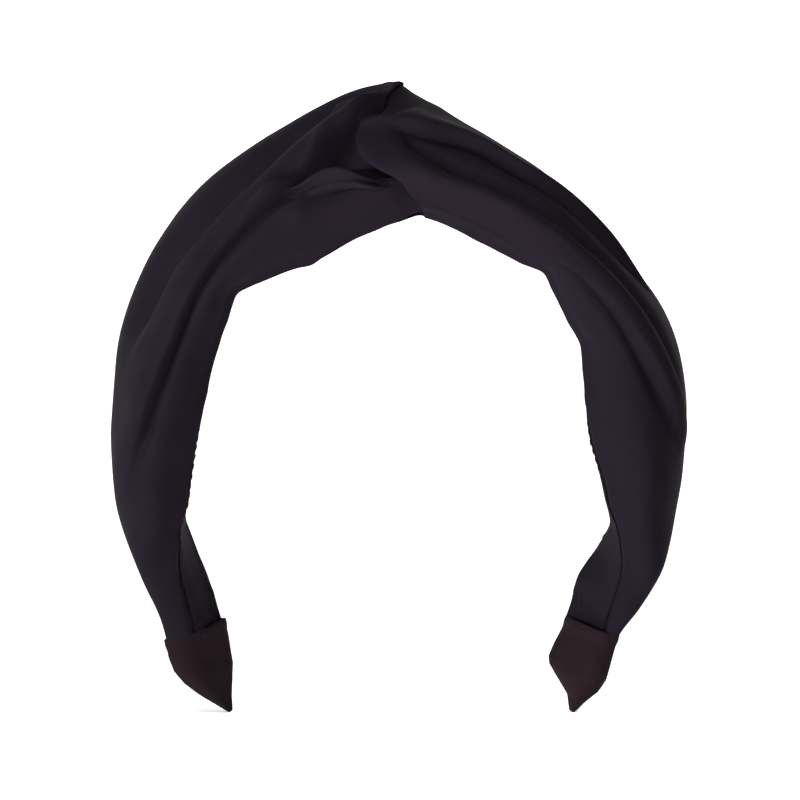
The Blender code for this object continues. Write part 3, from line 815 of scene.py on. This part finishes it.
def clothMaterial(name, dark, light, roughness, specular, sheen, weave, tint=(1, 1, 1), useUv=True,
                  threads=3200.0, slub=60.0, crease=45.0, bump=0.1, ior=1.5):
    material = bpy.data.materials.new(name)
    material.use_nodes = True
    nodes, links = material.node_tree.nodes, material.node_tree.links
    shader = nodes["Principled BSDF"]
    detail = nodes.new("ShaderNodeGroup")
    detail.node_tree = clothDetail
    for key, value in (("Threads", threads), ("Slub", slub), ("Crease", crease)):
        detail.inputs[key].default_value = value
    if useUv:
        source = nodes.new("ShaderNodeUVMap")
        source.uv_map = "cloth"
        links.new(source.outputs["UV"], detail.inputs["Vector"])
    else:
        source = nodes.new("ShaderNodeTexCoord")
        links.new(source.outputs["Object"], detail.inputs["Vector"])
    ramp = nodes.new("ShaderNodeMix")
    ramp.data_type = "RGBA"
    ramp.inputs["A"].default_value = (*dark, 1)
    ramp.inputs["B"].default_value = (*light, 1)
    links.new(detail.outputs["Cloud"], ramp.inputs["Factor"])
    links.new(ramp.outputs["Result"], shader.inputs["Base Color"])
    rough = nodes.new("ShaderNodeMapRange")
    rough.inputs["To Min"].default_value = roughness - 0.07
    rough.inputs["To Max"].default_value = roughness + 0.07
    links.new(detail.outputs["Wear"], rough.inputs["Value"])
    links.new(rough.outputs["Result"], shader.inputs["Roughness"])
    height = nodes.new("ShaderNodeMath")
    height.operation = "MULTIPLY_ADD"
    height.inputs[1].default_value = weave
    links.new(detail.outputs["Weave"], height.inputs[0])
    links.new(detail.outputs["Wear"], height.inputs[2])
    raised = nodes.new("ShaderNodeBump")
    raised.inputs["Strength"].default_value = bump
    raised.inputs["Distance"].default_value = 0.2 * mm
    links.new(height.outputs[0], raised.inputs["Height"])
    links.new(raised.outputs["Normal"], shader.inputs["Normal"])
    shader.inputs["Specular IOR Level"].default_value = specular
    shader.inputs["IOR"].default_value = ior
    shader.inputs["Sheen Weight"].default_value = sheen
    shader.inputs["Sheen Roughness"].default_value = 0.45
    shader.inputs["Sheen Tint"].default_value = (*tint, 1)
    return material


satin = clothMaterial("satin", (0.0092, 0.0060, 0.0098), (0.0132, 0.0094, 0.0148), 0.7, 0.5, 0.0, 0.35,
                      ior=1.07)
liningCloth = clothMaterial("lining_cloth", (0.0085, 0.0052, 0.0088), (0.0115, 0.0078, 0.0122), 0.85, 0.04,
                            0.0, 0.5, threads=1500.0)
suede = clothMaterial("suede", (0.0110, 0.0058, 0.0074), (0.0160, 0.0088, 0.0112), 0.92, 0.04, 0.0, 0.3,
                      threads=2400.0, slub=180.0, crease=300.0, bump=0.25)
# the foam pads' colour is painted shade: darker than the satin, so that where a pad shows through a gap in
# the cover it reads as cloth in shadow
padFoamPaintedShade = clothMaterial("pad_foam_painted_shade", (0.0052, 0.0032, 0.0052), (0.0085, 0.0056, 0.0088), 0.95, 0.05, 0.0, 0.2,
                        useUv=False, slub=900.0, crease=1500.0, bump=0.5)
thread = clothMaterial("thread", (0.009, 0.006, 0.009), (0.014, 0.010, 0.015), 0.7, 0.08, 0.0, 0.5,
                       useUv=False, threads=6000.0, slub=2000.0)
springPlastic = clothMaterial("spring_plastic", (0.010, 0.009, 0.011), (0.016, 0.015, 0.017), 0.4, 0.3, 0.0,
                              0.0, useUv=False, slub=120.0, crease=900.0, bump=0.05)


def finishPiece(piece, material):
    if not piece.data.materials:
        piece.data.materials.append(material)


def acrossJoint(piece):
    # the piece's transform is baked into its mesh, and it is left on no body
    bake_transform(piece)


def edgeLineOf(sign, share):
    along = np.linspace(1.5, sleeve["mouth"] - 1.5, 150) * mm * sign
    edge = share * (1 - 0.9 * mm / liningHalf(along))
    return liningPoints(along, edge, 0.03 * mm)


def mouthLine(side):
    sign = -1 if side == "left" else 1
    angle = np.linspace(0, 2 * math.pi, 121)
    along = np.full(angle.shape, (sleeve["mouth"] + 1.9) * mm * sign)
    return sleevePoint(along, angle, side, 0.52 * mm)


def ticks(side):
    # three short threads across the sleeve's mouth, on the front edge
    sign = -1 if side == "left" else 1
    lines = []
    for turn in (-2.05, -1.95, -1.85):
        along = np.array([sleeve["mouth"] - 1.6, sleeve["mouth"] + 0.2, sleeve["mouth"] + 1.6]) * mm * sign
        angle = np.full(3, turn) + np.array([0, 0.02, 0.04])
        lines.append(sleevePoint(along, angle, side, np.array([0.35, 0.75, 0.6]) * mm))
    return lines


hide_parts("cover_crown_left", "cover_left_arm", "knot_left_upper", "knot_left_lower")
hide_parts("cover_crown_right", "cover_right_arm", "knot_right")
for side, cloth, strap, cap, sign in (("left", leftCover, leftLining, leftSleeve, -1),
                                      ("right", rightCover, rightLining, rightSleeve, 1)):
    finishPiece(cloth, satin)
    acrossJoint(cloth)
    finishPiece(strap, liningCloth)
    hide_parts("lining_crown", f"lining_{side}_arm")
    acrossJoint(strap)
    finishPiece(cap, suede)
    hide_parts(f"end_sleeve_{side}")
    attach(cap, f"{side}_arm")
    hemLines = [edgeLineOf(sign, -1), edgeLineOf(sign, 1)]
    hem = sewAlong(f"lining_stitches_{side}", hemLines, thread, Seed=4 + sign)
    acrossJoint(hem)
    seam = sewAlong(f"sleeve_seam_{side}", [mouthLine(side)], thread, Seed=9 + sign, Spacing=1.9 * mm,
                    Length=1.5 * mm, Radius=0.17 * mm)
    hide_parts(f"sleeve_stitches_{side}")
    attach(seam, f"{side}_arm")
tickThreads = sewAlong("sleeve_ticks", ticks("left"), thread, Seed=3, Spacing=1.3 * mm, Length=2.0 * mm,
                       Radius=0.17 * mm)
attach(tickThreads, "left_arm")

for cloth, cut, side in ((leftCover, leftCut, "left"), (rightCover, rightCut, "right")):
    print("cut", side, [round(v, 4) for v in cut])
for body, pad in foamPieces.items():
    finishPiece(pad, padFoamPaintedShade)
    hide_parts("foam_crown" if body == "crown" else f"foam_{body}")
    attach(pad, body)
for name in ("core_crown", "core_left_arm", "core_right_arm", "knot_tack"):
    node = frame["nodes"][name]
    for slotIndex in range(len(node.material_slots)):
        node.material_slots[slotIndex].link = "OBJECT"
        node.material_slots[slotIndex].material = thread if name == "knot_tack" else springPlastic


def plainMaterial(name, colour, roughness):
    material = bpy.data.materials.new(name)
    material.use_nodes = True
    shader = material.node_tree.nodes["Principled BSDF"]
    shader.inputs["Base Color"].default_value = (*colour, 1)
    shader.inputs["Roughness"].default_value = roughness
    return material


def glowMaterial(name, colour, glow):
    material = plainMaterial(name, colour, 1.0)
    shader = material.node_tree.nodes["Principled BSDF"]
    shader.inputs["Emission Color"].default_value = (1, 1, 1, 1)
    shader.inputs["Emission Strength"].default_value = glow
    shader.inputs["Specular IOR Level"].default_value = 0
    return material


def addPlane(name, corners, material):
    mesh = bpy.data.meshes.new(name)
    mesh.from_pydata(corners, [], [(0, 1, 2, 3)])
    mesh.materials.append(material)
    plane = bpy.data.objects.new(name, mesh)
    bpy.context.collection.objects.link(plane)
    return plane


def makeStudio():
    wide, front, back, high, low = 3.0, -1.5, 1.6, 2.5, -0.0003
    ground = [(-wide, front, low), (wide, front, low), (wide, back, low), (-wide, back, low)]
    floor = addPlane("floor", ground, glowMaterial("floor", (0.9, 0.9, 0.9), 0.3))
    wall = [(-wide, back, -0.5), (wide, back, -0.5), (wide, back, high), (-wide, back, high)]
    backdrop = addPlane("backdrop", wall, glowMaterial("backdrop", (0.9, 0.9, 0.9), 1.05))
    world = bpy.data.worlds.new("studio")
    world.use_nodes = True
    world.node_tree.nodes["Background"].inputs["Color"].default_value = (1, 1, 1, 1)
    world.node_tree.nodes["Background"].inputs["Strength"].default_value = 0.20
    bpy.context.scene.world = world


studio = {
    "distance": 0.95,
    "elevationDeg": 6.0,
    "aim": (-0.0003, 0.0, 0.0847),
    "frameWidth": 0.2144,      # metres seen across at the aim
    "sensor": 36,
}


def addLight(name, place, aim, size, power, colour=(1, 1, 1)):
    data = bpy.data.lights.new(name, "AREA")
    data.shape = "RECTANGLE"
    data.size, data.size_y = size
    data.energy = power
    data.color = colour
    light = bpy.data.objects.new(name, data)
    bpy.context.collection.objects.link(light)
    light.location = place
    light.rotation_euler = (Vector(aim) - Vector(place)).to_track_quat("-Z", "Y").to_euler()
    return light


def makeCamera():
    data = bpy.data.cameras.new("camera")
    camera = bpy.data.objects.new("camera", data)
    bpy.context.collection.objects.link(camera)
    elevation = math.radians(studio["elevationDeg"])
    aim = Vector(studio["aim"])
    camera.location = aim + Vector((0, -math.cos(elevation), math.sin(elevation))) * studio["distance"]
    camera.rotation_euler = (aim - camera.location).to_track_quat("-Z", "Y").to_euler()
    data.sensor_width = studio["sensor"]
    data.lens = studio["sensor"] * studio["distance"] / studio["frameWidth"]
    data.clip_start = 0.01
    bpy.context.scene.camera = camera


makeStudio()
makeCamera()
addLight("key", (-0.52, -0.48, 0.10), (-0.04, 0, 0.1), (0.3, 0.25), 5.6, (0.86, 1.0, 1.02))
crownFill = addLight("crown_fill", (-0.12, -0.75, 0.32), (0.02, 0, 0.155), (0.1, 0.1), 0.045)
crownFill.data.spread = math.radians(16)
# these light the floor alone: it stays white, with a short soft shadow beside each tip
floorLights = [addLight("overhead", (0, 0, 2.0), (0, 0, 0), (2.5, 2.5), 34),
               addLight("beside_left", (0.03, -0.02, 0.05), (-0.06, 0, 0), (0.02, 0.02), 0.1),
               addLight("beside_right", (0.125, -0.02, 0.05), (0.03, 0, 0), (0.02, 0.02), 0.05)]
floorOnly = bpy.data.collections.new("floor_only")
for plane in bpy.data.objects:
    if plane.name in ("floor", "backdrop"):
        floorOnly.objects.link(plane)
for light in floorLights:
    light.light_linking.receiver_collection = floorOnly
bpy.context.scene.view_settings.view_transform = "Standard"
